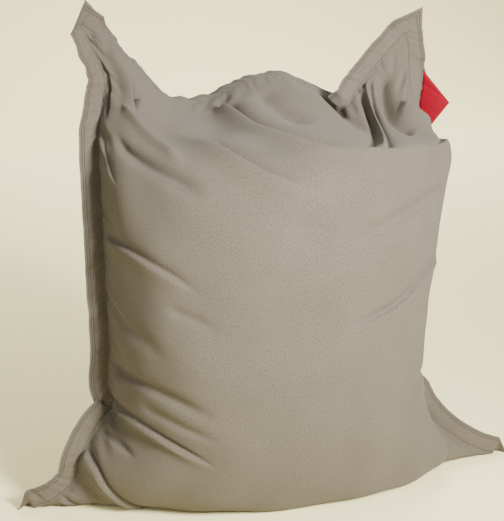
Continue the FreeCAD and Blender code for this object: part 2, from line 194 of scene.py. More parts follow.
# Where the beads push the front panel out: (u, v, reach, dx, dy, dz).
FRONT_SWELLS = [
    (0.52, 1.17, 0.09, 0.016, -0.030, 0.004),
    (0.20, 1.10, 0.22, 0.000, -0.020, 0.006),
    (-0.40, 0.66, 0.16, -0.008, -0.012, 0.000),
    (0.48, 0.28, 0.10, 0.010, -0.012, 0.000),
]
# The label: how far up the right hem it runs (v), how deep its root is sewn in, and its free corner.
LABEL_SPAN = (1.22, 1.53)
LABEL_SEWN = 0.010
LABEL_CORNER = (0.5185, 0.110, 0.9880)
LABEL_POINTS = (25, 17)         # along its root, and out from it
LABEL_SAG = 0.004
LABEL_THICKNESS = 0.0014
LEFT_TIP = (-0.448, 0.160, 1.282)
RIGHT_TIP = (0.462, 0.180, 1.250)
LEFT_FOOT_TIP = (-0.688, 0.030, 0.004)
RIGHT_FOOT_TIP = (0.688, 0.010, 0.004)


def curve(points, at):
    """A smooth line through (parameter, x, y, z) points, at each value of at."""
    table = np.array(points, float)
    t, p = table[:, 0], table[:, 1:]
    rise = np.diff(p, axis=0) / np.diff(t)[:, None]
    slope = np.vstack([rise[:1], (rise[1:] + rise[:-1]) / 2, rise[-1:]])
    i = np.clip(np.searchsorted(t, at, side="right") - 1, 0, len(t) - 2)
    gap = (t[i + 1] - t[i])[:, None]
    s = ((np.clip(at, t[0], t[-1]) - t[i])[:, None]) / gap
    return ((1 + 2 * s) * (1 - s) ** 2 * p[i] + s * (1 - s) ** 2 * gap * slope[i]
            + s ** 2 * (3 - 2 * s) * p[i + 1] + s ** 2 * (s - 1) * gap * slope[i + 1])


def ease(x, low, high):
    """0 below low, 1 above high, and smooth between."""
    t = np.clip((x - low) / (high - low), 0, 1)
    return t * t * (3 - 2 * t)


def unit(vectors):
    return vectors / np.maximum(np.linalg.norm(vectors, axis=-1, keepdims=True), 1e-9)


def wall(u, v, middle):
    """The panel's wall, floor to rim: a level oval between the side seams, flat at the bottom seam."""
    left, right, centre = curve(LEFT_SEAM, v), curve(RIGHT_SEAM, v), curve(middle, v)
    s = u / HALF
    round_x = np.sign(s) * np.abs(np.sin(s * math.pi / 2)) ** 0.92
    bulge = np.abs(np.cos(s * math.pi / 2)) ** 0.72
    straight = 1 - ease(v, 0.0, 0.30)
    x_share = s[None, :] * straight[:, None] + round_x[None, :] * (1 - straight[:, None])
    mid = (left + right) / 2
    return (mid[:, None] + x_share[..., None] * (right - left)[:, None] / 2
            + bulge[None, :, None] * (centre - mid)[:, None])


def panel(u, v, middle, crown_bulge):
    """Every point of a panel. Above the rim the cloth runs slack to the top seam."""
    rim = wall(u, np.array([RIM_V]), middle)[0]
    top = curve(TOP_SEAM, u)
    places = wall(u, np.minimum(v, RIM_V), middle)
    t = np.clip((v - RIM_V) / (PANEL_HEIGHT - RIM_V), 0, 1)[:, None, None]
    s = (u / HALF)[None, :, None]
    sheet = rim[None] * (1 - t) + top[None] * t
    sheet = sheet + crown_bulge * np.sin(math.pi * t) * (1 - s ** 4)
    places = np.where(t > 0, sheet, places)
    # the side seams keep their own line above the rim
    for seam, edge in ((LEFT_SEAM, 0), (RIGHT_SEAM, -1)):
        shift = curve(seam, v) - places[:, edge]
        near = 1 - ease(np.abs(u - u[edge]), 0.0, 0.40)
        places = places + shift[:, None] * near[None, :, None]
    return soft_rim(places, u, v)


def soft_rim(places, u, v):
    """Rounds the rim off towards the left, where the wall runs on into its ear."""
    smooth = places.copy()
    for _ in range(36):
        smooth[1:-1] = (smooth[:-2] + 2 * smooth[1:-1] + smooth[2:]) / 4
    share = (0.12 + 0.88 * (1 - ease(u, -0.24, 0.04))) * ease(np.abs(u + HALF), 0.0, 0.10)
    window = np.exp(-((v - RIM_V) / 0.17) ** 2)
    return places + (smooth - places) * (share[None, :] * window[:, None])[..., None]


def swell(places, u, v, pushes):
    """Pushes parts of a panel out: each push is (u, v, reach, dx, dy, dz)."""
    for at_u, at_v, reach, dx, dy, dz in pushes:
        gap = ((u[None, :] - at_u) ** 2 + (v[:, None] - at_v) ** 2) / reach ** 2
        places = places + np.exp(-gap)[..., None] * np.array([dx, dy, dz])
    return places


def outward(line, side):
    """The direction that the hem takes outside a seam line: across it, in the XZ plane."""
    along = unit(np.gradient(line, axis=0))
    across = np.stack([-along[:, 2] * side, np.zeros(len(line)), along[:, 0] * side], axis=1)
    return unit(across)


def with_hem(inner, u, v):
    """The panel's grid with the hem's cells added round it."""
    steps = np.arange(1, HEM_CELLS + 1) / HEM_CELLS * HEM
    left, right = inner[:, 0], inner[:, -1]
    bottom, top = inner[0], inner[-1]
    out_left = outward(left, 1)
    out_right = outward(right, -1)
    out_top = outward(top, 1)
    flop = 2.6 * ease(u, -0.60, -0.44) * (1 - ease(u, 0.14, 0.22))
    flop = flop - 0.9 * np.exp(-((u + 0.20) / 0.07) ** 2)       # where the flap lifts
    out_top = unit(out_top + np.array([0, 1.0, -0.25]) * flop[:, None])
    tucked = 2.6 * ease(v, 0.36, 0.46) * (1 - ease(v, 1.18, 1.50))
    tucked = tucked - 1.9 * np.exp(-((v - 0.84) / 0.05) ** 2)   # where it shows at the waist
    turned = -0.8 * ease(v, 1.25, 1.70)
    out_left = unit(out_left + np.array([0, 1.0, 0.0]) * turned[:, None])
    out_right = unit(out_right + np.array([0, 1.0, 0.0]) * tucked[:, None])
    under = np.tile([0.0, 1.0, 0.0], (len(u), 1))
    rows, cols = inner.shape[:2]
    grid = np.zeros((rows + 2 * HEM_CELLS, cols + 2 * HEM_CELLS, 3))
    n = HEM_CELLS
    grid[n:-n, n:-n] = inner
    for k, d in enumerate(steps):
        grid[n:-n, n - 1 - k] = left + out_left * d
        grid[n:-n, -n + k] = right + out_right * d
        grid[-n + k, n:-n] = top + out_top * d
        grid[n - 1 - k, n:-n] = bottom + under * d
    tips = {(0, 0): LEFT_FOOT_TIP, (0, 1): RIGHT_FOOT_TIP, (1, 0): LEFT_TIP, (1, 1): RIGHT_TIP}
    for (up, across), tip in tips.items():
        row = -n - 1 if up else n
        col = -n - 1 if across else n
        r_step = 1 if up else -1
        c_step = 1 if across else -1
        corner = grid[row, col]
        a = grid[row, col + c_step * n]
        b = grid[row + r_step * n, col]
        for i in range(1, n + 1):
            for j in range(1, n + 1):
                p, q = i / n, j / n
                grid[row + r_step * i, col + c_step * j] = (
                    corner * (1 - p) * (1 - q) + a * (1 - p) * q + b * p * (1 - q)
                    + np.array(tip) * p * q)
    return grid


def quads(index):
    return np.stack([index[:-1, :-1], index[:-1, 1:], index[1:, 1:], index[1:, :-1]],
                    axis=-1).reshape(-1, 4)


def mesh_piece(name, points, faces, cut=None):
    """A smooth piece from arrays. cut gives the cut coordinates of its points, for its weave."""
    mesh = bpy.data.meshes.new(name)
    mesh.from_pydata(points.tolist(), [], faces.tolist())
    if cut is not None:
        corners = np.empty(len(mesh.loops), int)
        mesh.loops.foreach_get("vertex_index", corners)
        mesh.uv_layers.new(name="cut").data.foreach_set("uv", cut[corners].ravel())
    mesh.shade_smooth()
    piece = bpy.data.objects.new(name, mesh)
    bpy.context.scene.collection.objects.link(piece)
    return piece


def open_quads(shape, slot):
    """The faces of a grid, without those that a zip's slot takes away."""
    index = np.arange(shape[0] * shape[1]).reshape(shape[:2])
    faces = quads(index)
    if slot is None:
        return faces
    row, columns = slot
    taken = np.zeros((shape[0] - 1, shape[1] - 1), bool)
    taken[row] = columns
    return faces[~taken.ravel()]


def one_cloth(front, back):
    """Both panels as one mesh, sewn along the seam. The hem is a single sheet, kept with the front.

    It returns the mesh's points, its faces and the number of each back point.
    """
    n = HEM_CELLS
    rows, cols = front.shape[:2]
    front_index = np.arange(rows * cols).reshape(rows, cols)
    back_index = front_index[n:-n, n:-n].copy()
    inner = back_index[1:-1, 1:-1]
    inner[...] = rows * cols + np.arange(inner.size).reshape(inner.shape)
    points = np.vstack([front.reshape(-1, 3), back[n + 1:-n - 1, n + 1:-n - 1].reshape(-1, 3)])
    faces = np.vstack([quads(front_index), quads(back_index)[:, ::-1]])
    return points, faces, back_index


def simulate(points, faces, hold, spare, frames):
    """Lets the cloth settle. hold and spare are per-point weights, for soft pins and for spare cloth."""
    scene = bpy.context.scene
    mesh = bpy.data.meshes.new("settling")
    mesh.from_pydata(points.tolist(), [], faces.tolist())
    piece = bpy.data.objects.new("settling", mesh)
    scene.collection.objects.link(piece)
    for name, weights in (("hold", hold), ("spare", spare)):
        group = piece.vertex_groups.new(name=name)
        for level in np.unique(weights.round(2)):
            group.add(np.nonzero(weights.round(2) == level)[0].tolist(), float(level), "REPLACE")
    cloth = piece.modifiers.new("Cloth", "CLOTH")
    made = cloth.settings
    made.quality = 6
    made.mass = 0.3
    made.air_damping = 1.5
    made.tension_stiffness = 30
    made.compression_stiffness = 30
    made.shear_stiffness = 12
    made.bending_stiffness = 6
    made.vertex_group_mass = "hold"
    made.pin_stiffness = PIN_STIFFNESS
    made.vertex_group_shrink = "spare"
    made.shrink_min = -SPARE_LEAST
    made.shrink_max = -SPARE_MOST
    cloth.collision_settings.use_collision = False
    cloth.collision_settings.use_self_collision = False
    cloth.point_cache.frame_start = 1
    cloth.point_cache.frame_end = frames
    scene.frame_start, scene.frame_end = 1, frames
    for frame_number in range(1, frames + 1):
        scene.frame_set(frame_number)
    settled = piece.evaluated_get(bpy.context.evaluated_depsgraph_get()).to_mesh()
    places = np.empty(len(points) * 3)
    settled.vertices.foreach_get("co", places)
    bpy.data.objects.remove(piece)
    scene.frame_set(1)
    return places.reshape(-1, 3)


# ---- folds: each is (line, rise, drop, near, far, fade_in, fade_out) ----
# The line's points are (u, v). The cloth is rise above the smooth panel on the line, and falls away over
# near to the right of the line's direction and over far to its left. With a drop it falls steeply on the
# left instead, to a valley that deep. The fades are the lengths over which a fold begins and ends.
CRISP = 0.006           # width of the steep side of a crisp fold
FRONT_FOLDS = {
    "left_ear_ridge": ([(-0.62, 1.70), (-0.56, 1.685), (-0.51, 1.62), (-0.48, 1.52), (-0.45, 1.38)],
                       0.017, 0.022, 0.045, 0.026, 0.03, 0.16),
    "left_ear_pocket": ([(-0.635, 1.58), (-0.625, 1.44), (-0.61, 1.31)], -0.026, 0, 0.014, 0.010, 0.08, 0.06),
    "crown_fold": ([(-0.47, 1.48), (-0.38, 1.47), (-0.26, 1.37), (-0.12, 1.18), (0.02, 1.09)],
                   0.017, 0.019, 0.040, 0.030, 0.04, 0.16),
    "crown_soft": ([(-0.53, 1.40), (-0.44, 1.36), (-0.34, 1.28), (-0.27, 1.19)],
                   0.014, 0, 0.022, 0.018, 0.05, 0.08),
    "shoulder_valley": ([(-0.56, 1.27), (-0.48, 1.23), (-0.35, 1.17), (-0.22, 1.09)],
                        -0.019, 0, 0.022, 0.026, 0.08, 0.10),
    "left_short": ([(-0.64, 1.26), (-0.58, 1.18), (-0.52, 1.10)], 0.007, 0.008, 0.014, 0.012, 0.02, 0.08),
    "flap_fold": ([(-0.13, 1.63), (-0.09, 1.50), (-0.05, 1.38), (0.01, 1.27), (0.08, 1.20)],
                  0.017, 0.024, 0.035, 0.030, 0.04, 0.10),
    "flap_soft": ([(-0.01, 1.64), (0.02, 1.50), (0.07, 1.38)], -0.014, 0, 0.025, 0.030, 0.04, 0.08),
    "rim": ([(0.02, 1.27), (0.08, 1.225), (0.18, 1.205), (0.30, 1.20), (0.44, 1.205), (0.60, 1.225)],
            0.008, 0.016, 0.030, 0.020, 0.06, 0.07),
    "drape_groove": ([(0.40, 1.68), (0.33, 1.55), (0.23, 1.36), (0.16, 1.23)],
                     -0.014, 0, 0.012, 0.012, 0.03, 0.04),
    "drape_ridge": ([(0.45, 1.69), (0.40, 1.60), (0.33, 1.48), (0.25, 1.32), (0.20, 1.22)],
                    0.014, 0.013, 0.016, 0.020, 0.03, 0.04),
    "right_ear_hollow": ([(0.50, 1.66), (0.45, 1.56), (0.40, 1.44), (0.40, 1.30)],
                         -0.024, 0, 0.016, 0.045, 0.05, 0.06),
    "right_shoulder": ([(0.50, 1.48), (0.53, 1.38), (0.58, 1.28)], 0.019, 0, 0.050, 0.016, 0.06, 0.03),
    "left_belly": ([(-0.64, 0.95), (-0.50, 0.94), (-0.37, 0.90), (-0.26, 0.845)],
                   0.004, 0.012, 0.030, 0.024, 0.02, 0.12),
    "left_belly_low": ([(-0.38, 0.82), (-0.30, 0.80), (-0.22, 0.77)], -0.007, 0, 0.014, 0.016, 0.05, 0.07),
    "left_low": ([(-0.64, 0.72), (-0.48, 0.72), (-0.36, 0.68)], -0.007, 0, 0.024, 0.030, 0.04, 0.12),
    "notch_upper": ([(-0.64, 0.57), (-0.50, 0.59), (-0.36, 0.575), (-0.22, 0.54)],
                    -0.014, 0, 0.014, 0.020, 0.02, 0.14),
    "notch_pinch": ([(-0.65, 0.455), (-0.52, 0.475), (-0.38, 0.45), (-0.22, 0.385)],
                    0.012, 0.022, 0.020, 0.013, 0.005, 0.16),
    "notch_lower": ([(-0.50, 0.535), (-0.38, 0.52), (-0.22, 0.48)], -0.008, 0, 0.012, 0.016, 0.06, 0.10),
    "foot_small": ([(-0.64, 0.34), (-0.56, 0.36), (-0.46, 0.35)], -0.011, 0, 0.010, 0.014, 0.01, 0.08),
    "foot_fold": ([(-0.65, 0.25), (-0.57, 0.24), (-0.46, 0.17), (-0.37, 0.09)],
                  0.014, 0.022, 0.045, 0.014, 0.01, 0.10),
    "foot_tip": ([(-0.65, 0.09), (-0.60, 0.055), (-0.54, 0.02)], 0.005, 0.013, 0.012, 0.012, 0.01, 0.02),
    "right_foot_fold": ([(0.64, 0.32), (0.57, 0.22), (0.50, 0.12), (0.44, 0.06)],
                        -0.024, 0, 0.018, 0.012, 0.02, 0.03),
    "right_foot_soft": ([(0.46, 0.46), (0.38, 0.36), (0.34, 0.26)], -0.007, 0, 0.024, 0.030, 0.06, 0.10),
    "right_low": ([(0.60, 0.50), (0.46, 0.54), (0.28, 0.53)], -0.010, 0, 0.022, 0.022, 0.02, 0.12),
    "right_waist": ([(0.06, 0.745), (0.17, 0.765), (0.24, 0.785), (0.34, 0.825), (0.50, 0.86)],
                    0.005, 0.015, 0.020, 0.022, 0.12, 0.06),
    "right_waist_low": ([(0.26, 0.71), (0.38, 0.745), (0.50, 0.76)], -0.006, 0, 0.020, 0.022, 0.08, 0.05),
    "right_upper": ([(0.04, 0.955), (0.12, 0.98), (0.22, 1.01), (0.34, 1.04), (0.48, 1.06)],
                    -0.013, 0, 0.026, 0.022, 0.14, 0.06),
    "middle_dent": ([(-0.06, 1.02), (0.00, 1.00), (0.05, 0.985)], -0.007, 0, 0.030, 0.030, 0.05, 0.05),
}
BACK_FOLDS = {
    "crown": ([(-0.45, 1.40), (-0.15, 1.34), (0.20, 1.36), (0.46, 1.42)],
              0.017, 0.016, 0.040, 0.030, 0.10, 0.10),
    "sag": ([(-0.50, 1.28), (-0.10, 1.20), (0.30, 1.23), (0.52, 1.28)], -0.017, 0, 0.022, 0.026, 0.08, 0.08),
    "left_foot": ([(-0.65, 0.30), (-0.48, 0.27), (-0.34, 0.20)], 0.012, 0.019, 0.024, 0.020, 0.01, 0.10),
    "left_waist": ([(-0.64, 0.74), (-0.46, 0.72), (-0.30, 0.74)], -0.011, 0, 0.020, 0.024, 0.02, 0.14),
    "left_side": ([(-0.64, 1.00), (-0.45, 0.97), (-0.22, 1.00)], -0.012, 0, 0.020, 0.030, 0.02, 0.16),
    "right_foot": ([(0.65, 0.32), (0.50, 0.27), (0.36, 0.19)], -0.019, 0, 0.018, 0.014, 0.01, 0.10),
    "right_waist": ([(0.64, 0.78), (0.44, 0.77), (0.28, 0.75)], -0.012, 0, 0.022, 0.020, 0.02, 0.14),
    "right_side": ([(0.64, 1.06), (0.48, 1.00), (0.26, 0.98)], -0.014, 0, 0.024, 0.026, 0.02, 0.16),
    "left_ear": ([(-0.60, 1.66), (-0.50, 1.52), (-0.38, 1.40)], -0.017, 0, 0.018, 0.022, 0.03, 0.10),
    "right_ear": ([(0.60, 1.66), (0.52, 1.52), (0.40, 1.40)], -0.017, 0, 0.022, 0.018, 0.03, 0.10),
}


def finer_along(grid, times):
    """A grid with times as many cells down its first axis, on a smooth line through its points."""
    count = grid.shape[0]
    padded = np.concatenate([2 * grid[:1] - grid[1:2], grid, 2 * grid[-1:] - grid[-2:-1]])
    at = np.arange((count - 1) * times + 1) / times
    i = np.minimum(at.astype(int), count - 2)
    s = (at - i).reshape(-1, *([1] * (grid.ndim - 1)))
    a, b, c, d = (padded[i + k] for k in range(4))
    return b + 0.5 * s * (c - a + s * (2 * a - 5 * b + 4 * c - d + s * (3 * (b - c) + d - a)))


def finer(grid, times):
    return finer_along(finer_along(grid, times).swapaxes(0, 1), times).swapaxes(0, 1)


def normals(grid):
    """Unit normals of a sheet: out of the bag for the front panel, and into it for the back one."""
    return unit(np.cross(np.gradient(grid, axis=1), np.gradient(grid, axis=0)))


def fold_rise(wide, tall, fold):
    """How far one fold lifts each point of a panel."""
    line, rise, drop, near, far, fade_in, fade_out = fold
    at = np.linspace(0, 1, len(line))
    path = curve([(t, x, y, 0.0) for t, (x, y) in zip(at, line)], np.linspace(0, 1, 25))[:, :2]
    starts = np.concatenate([[0], np.cumsum(np.linalg.norm(np.diff(path, axis=0), axis=1))])
    away = np.full(wide.shape, 9.0)
    left = np.zeros(wide.shape)
    along = np.zeros(wide.shape)
    for a, b, start in zip(path[:-1], path[1:], starts):
        step = b - a
        size = np.hypot(*step)
        dx, dy = wide - a[0], tall - a[1]
        t = np.clip((dx * step[0] + dy * step[1]) / size ** 2, 0, 1)
        gap = np.hypot(dx - t * step[0], dy - t * step[1])
        closer = gap < away
        away = np.where(closer, gap, away)
        left = np.where(closer, step[0] * dy - step[1] * dx, left)
        along = np.where(closer, start + t * size, along)
    far_side = rise * np.exp(-(away / far) ** 2)
    if drop:
        far_side = (rise + drop) * np.exp(-(away / CRISP) ** 2) - drop * np.exp(-(away / far) ** 2)
    shape = np.where(left > 0, far_side, rise * np.exp(-(away / near) ** 2))
    return shape * ease(along, 0.0, fade_in) * (1 - ease(along, starts[-1] - fade_out, starts[-1]))


def waves(at, lengths, seed):
    """A smooth irregular wave, from -1 to 1, of mixed wave lengths."""
    random = np.random.default_rng(seed)
    total = sum(np.sin(2 * math.pi * at / length + random.uniform(0, 2 * math.pi)) for length in lengths)
    return total / len(lengths) * (1 + 0.5 * np.sin(2 * math.pi * at / 0.43 + random.uniform(0, 6)))


def inside_seam(wide, tall):
    """Distance inside the nearest seam. It is below zero in the hem."""
    return np.minimum(HALF - np.abs(wide), np.minimum(tall, PANEL_HEIGHT - tall))


def along_seam(wide, tall):
    """A length that runs along whichever seam is nearest."""
    beside = (HALF - np.abs(wide)) < np.minimum(tall, PANEL_HEIGHT - tall)
    return np.where(beside, tall + 5 * np.sign(wide), wide + 11 * (tall > 0.8))


def gathers(wide, tall, seed):
    """Short gathers that the stitches pull into a panel beside its seams."""
    inside = inside_seam(wide, tall)
    along = along_seam(wide, tall)
    short = np.exp(-np.maximum(inside, 0) / 0.030) * ease(inside, -0.002, 0.006)
    long = np.exp(-((inside - 0.05) / 0.05) ** 2)
    return (0.0020 * short * waves(along, (0.023, 0.031, 0.041), seed)
            + 0.0035 * long * waves(along + 0.35 * inside, (0.062, 0.085, 0.12), seed + 1))


def dents(wide, tall, seed):
    """The slow unevenness of cloth over loose beads."""
    random = np.random.default_rng(seed)
    total = np.zeros(wide.shape)
    for _ in range(16):
        angle = random.uniform(0, math.pi)
        length = random.uniform(0.12, 0.45)
        phase = random.uniform(0, 2 * math.pi)
        total += np.sin(2 * math.pi * (wide * math.cos(angle) + tall * math.sin(angle)) / length + phase)
    return 0.0009 * total


def crumple(grid, wide, tall):
    """The hem's crumple: it waves out of its plane."""
    out = np.maximum(-inside_seam(wide, tall), 0)
    along = along_seam(wide, tall)
    slack = 0.4 + 0.6 * ease(tall, 0.25, 0.45)
    lift = 0.0060 * slack * out / HEM * waves(along, (0.083, 0.121, 0.19), 21)
    lift = lift + 0.0016 * ease(out, 0.0, 0.015) * waves(along + 0.6 * out, (0.027, 0.038, 0.052), 22)
    return grid + normals(grid) * lift[..., None]


def zip_share(grid, height, half_angle):
    """1 where the cloth carries a zip, and 0 away from it."""
    angle = np.arctan2(grid[..., 0], grid[..., 1] - ZIP_AXIS_Y)
    across = 1 - ease(np.abs(angle), half_angle + ZIP_ACROSS[0], half_angle + ZIP_ACROSS[1])
    return across * (1 - ease(np.abs(grid[..., 2] - height), *ZIP_UPWARD)) * (grid[..., 1] > 0)


def fit_zip(grid, height, radius, half_angle):
    """Lays a back sheet on its zip's arc, level along it, and parts it at the slot.

    It returns the sheet and the faces of its grid that the slot takes away.
    """
    share = zip_share(grid, height, half_angle)
    angle = np.arctan2(grid[..., 0], grid[..., 1] - ZIP_AXIS_Y)
    reach = np.hypot(grid[..., 0], grid[..., 1] - ZIP_AXIS_Y)
    reach = reach + (radius - reach) * share
    middle = grid[:, grid.shape[1] // 2, 2][:, None]
    z = grid[..., 2] + (middle - grid[..., 2]) * share
    row = int(np.max(np.nonzero((middle[:, 0] < height) & (np.arange(len(middle)) < len(middle) // 2))))
    parted = z.copy()
    for edge, side in ((row, -1), (row + 1, 1)):
        gap = abs(middle[edge, 0] - height)
        beyond = (z - height) * side
        pressed = SLOT_HALF + (beyond - gap) * (ZIP_REACH - SLOT_HALF) / (ZIP_REACH - gap)
        here = (beyond > gap - 1e-6) & (beyond < ZIP_REACH)
        parted = np.where(here, height + side * pressed, parted)
    opened = 1 - ease(np.abs(angle), half_angle, half_angle + ZIP_ACROSS[0])
    z = z + (parted - z) * opened * (share > 0)
    placed = np.stack([np.sin(angle) * reach, ZIP_AXIS_Y + np.cos(angle) * reach, z], axis=-1)
    within = np.abs(angle[row]) < half_angle
    return placed, (row, within[:-1] & within[1:])


def lined(front, back, inset, rows):
    """Two sheets that lie inset inside the cover's, joined at their edges, over some of its rows."""
    n = HEM_CELLS
    keep = slice(n + rows[0], n + rows[1])
    inner = slice(n + LINED_COLUMNS, -n - LINED_COLUMNS)
    front, back = front[keep, inner], back[keep, inner]
    middle, half = (front + back) / 2, (back - front) / 2
    room = np.linalg.norm(half, axis=-1, keepdims=True)
    half = half * np.clip((room - inset) / np.maximum(room, 1e-6), 0, 1)
    count = half.shape[0]
    close = np.minimum(np.arange(count), count - 1 - np.arange(count))[:, None] / 4
    side = np.arange(half.shape[1])
    narrow = np.minimum(side, side[::-1])[None, :] / 3
    pinch = np.sqrt(np.clip(np.minimum(close, narrow), 0, 1))[..., None]
    sheets = [middle - half * pinch, middle + half * pinch]
    for sheet in sheets:
        sheet[..., 0] *= 1 - 2 * inset
        sheet[..., 2] = np.maximum(sheet[..., 2], 0.003 + inset / 2)
    return sheets


def spare_share(u, v):
    """How much of the spare cloth each point has: most along the seams, little on the full wall."""
    side = ease(np.abs(u), 0.44, 0.66)
    crown = 0.35 * ease(v, RIM_V - 0.08, RIM_V + 0.08)
    foot = 0.30 * (1 - ease(v, 0.10, 0.35))
    return np.clip(np.maximum(side, np.maximum(crown, foot)), 0, 1)


def cut_places(cells):
    """The cut coordinates of a panel's grid with its hem, with so many cells for each settling one."""
    across = (CELLS_ACROSS + 2 * HEM_CELLS) * cells + 1
    up = (CELLS_UP + 2 * HEM_CELLS) * cells + 1
    return np.meshgrid(np.linspace(-HALF - HEM, HALF + HEM, across),
                       np.linspace(-HEM, PANEL_HEIGHT + HEM, up))


def laid_out():
    """The cover's two panels with their hem, before they settle."""
    u = np.linspace(-HALF, HALF, CELLS_ACROSS + 1)
    v = np.linspace(0, PANEL_HEIGHT, CELLS_UP + 1)
    front = swell(panel(u, v, FRONT_MIDDLE, np.array([0.0, 0.0, -0.01])), u, v, FRONT_SWELLS)
    back = panel(u, v, BACK_MIDDLE, np.array([0.0, 0.05, 0.03]))
    front[[0, -1]], front[:, [0, -1]] = back[[0, -1]], back[:, [0, -1]]
    return with_hem(front, u, v), with_hem(back, u, v)


def settle(front, back):
    """The two panels after the cloth has taken up its spare length."""
    points, faces, back_index = one_cloth(front, back)
    share = spare_share(*cut_places(1))
    spare = np.zeros(len(points))
    spare[:share.size] = share.ravel()
    n = HEM_CELLS
    spare[back_index.ravel()] = share[n:-n, n:-n].ravel()
    settled = simulate(points, faces, np.full(len(points), HOLD), spare, FRAMES)
    front = settled[:share.size].reshape(front.shape)
    back = front.copy()
    back[n:-n, n:-n] = settled[back_index]
    return front, back


def dress(front, back):
    """Fine grids of the two panels, with their folds and gathers, and the hem's two layers apart."""
    wide, tall = cut_places(FINE)
    inside = inside_seam(wide, tall)
    front, back = finer(front, FINE), finer(back, FINE)
    crumpled = crumple(front, wide, tall)
    in_hem = (inside < 0)[..., None]
    front, back = np.where(in_hem, crumpled, front), np.where(in_hem, crumpled, back)
    apart = ease(-inside, 0.0, 0.012) * (1 - 0.7 * ease(-inside, 0.03, 0.05))
    layer = normals(front) * apart[..., None] * LAYER
    plain = 1 - zip_share(back, COVER_ZIP[0], COVER_ZIP[2])
    dressed = []
    panels = ((front, FRONT_FOLDS, 3, 1, 1.0), (back, BACK_FOLDS, 5, -1, plain))
    for grid, folds, seed, side, free in panels:
        rise = sum(fold_rise(wide, tall, fold) for fold in folds.values()) * ease(inside, 0.0, 0.02)
        rise = rise + gathers(wide, tall, seed) + dents(wide, tall, seed + 7) * ease(inside, 0.0, 0.12)
        grid = grid + normals(grid) * (rise * side * free)[..., None] + layer * side
        dressed.append(grid)
    front, back = dressed
    room = LEAST_ROOM * ease(inside, 0.0, 0.03)
    close = np.maximum(room - (back - front)[..., 1], 0) / 2 * (tall > RIM_V)
    front[..., 1] -= close
    back[..., 1] += close
    for grid in (front, back):
        grid[..., 2] = np.maximum(grid[..., 2], LOWEST)
    return front, back


def cloth_piece(name, grid, slot, cut, stands_for, finish):
    """A cloth sheet that rides on the bag in place of its CAD nodes."""
    piece = mesh_piece(name, grid.reshape(-1, 3), open_quads(grid.shape, slot), cut)
    piece.data.materials.append(finish[0])
    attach(piece, "bag")
    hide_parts(*stands_for)
    return piece


def bag():
    """The cover, the liner inside it, and the beads inside that."""
    front, back = laid_out()
    front, back = settle(front, back)
    wide, tall = cut_places(FINE)
    cut = np.stack([wide, tall], axis=-1).reshape(-1, 2)
    canvas = (canvas_material(), "cover_canvas")
    cover_front, cover_back = dress(front, back)
    cover_back, slot = fit_zip(cover_back, *COVER_ZIP)
    label(cover_front)
    cloth_piece("cover_front_cloth", cover_front, None, cut, ["cover_front_panel", "bottom_hem"], canvas)
    cloth_piece("cover_back_cloth", cover_back, slot, cut, ["cover_back_panel"], canvas)

    liner = (liner_material(), "liner_fabric")
    fitted, _ = fit_zip(back, *COVER_ZIP)
    liner_front, liner_back = lined(front, fitted, LINER_INSET, LINER_ROWS)
    liner_back, slot = fit_zip(liner_back, *LINER_ZIP)
    cloth_piece("liner_front_cloth", liner_front, None, None, ["liner_front_panel"], liner)
    cloth_piece("liner_back_cloth", liner_back, slot, None, ["liner_back_panel"], liner)

    bead_front, bead_back = lined(front, fitted, BEAD_INSET, BEAD_ROWS)
    index = np.arange(bead_front[..., 0].size).reshape(bead_front.shape[:2])
    other = index.copy()
    other[1:-1, 1:-1] = index.size + np.arange(index[1:-1, 1:-1].size).reshape(index[1:-1, 1:-1].shape)
    points = np.vstack([bead_front.reshape(-1, 3), bead_back[1:-1, 1:-1].reshape(-1, 3)])
    beads = mesh_piece("bead_heap", points, np.vstack([quads(index), quads(other)[:, ::-1]]))
    beads.data.materials.append(bead_material())
    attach(beads, "bag")
    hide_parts("bead_filling")


def label(hem):
    """The folded label in the right hem: a three-cornered tab."""
    heights = np.linspace(-HEM, PANEL_HEIGHT + HEM, hem.shape[0])
    inwards = round(LABEL_SEWN / HEM * HEM_CELLS * FINE)
    rows, columns = LABEL_POINTS
    spots = np.linspace(*LABEL_SPAN, rows)
    root = np.stack([np.interp(spots, heights, hem[:, -1 - inwards, axis]) for axis in range(3)], axis=-1)
    across = np.linspace(0, 1, columns)[None, :, None]
    up = np.linspace(0, 1, rows)[:, None, None]
    sheet = root[:, None] + (np.array(LABEL_CORNER) - root[:, None]) * across
    sheet = sheet + np.array([0.0, -LABEL_SAG, 0.0]) * np.sin(math.pi * across) * np.sin(math.pi * up)
    faces = quads(np.arange(rows * columns).reshape(rows, columns))
    piece = mesh_piece("hem_label", sheet.reshape(-1, 3), faces)
    folded = piece.modifiers.new("layers", "SOLIDIFY")
    folded.thickness = LABEL_THICKNESS
    folded.offset = 0
    piece.data.materials.append(tag_material())
    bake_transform(piece)
    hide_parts("side_tag")


# ---- materials ----
def new_material(name, colour, roughness, sheen=0.0, metallic=0.0, specular=0.5):
    material = bpy.data.materials.new(name)
    material.use_nodes = True
    shader = material.node_tree.nodes["Principled BSDF"]
    shader.inputs["Base Color"].default_value = (*colour, 1)
    shader.inputs["Roughness"].default_value = roughness
    shader.inputs["Metallic"].default_value = metallic
    shader.inputs["Specular IOR Level"].default_value = specular
    shader.inputs["Sheen Weight"].default_value = sheen
    shader.inputs["Sheen Roughness"].default_value = 0.5
    return material


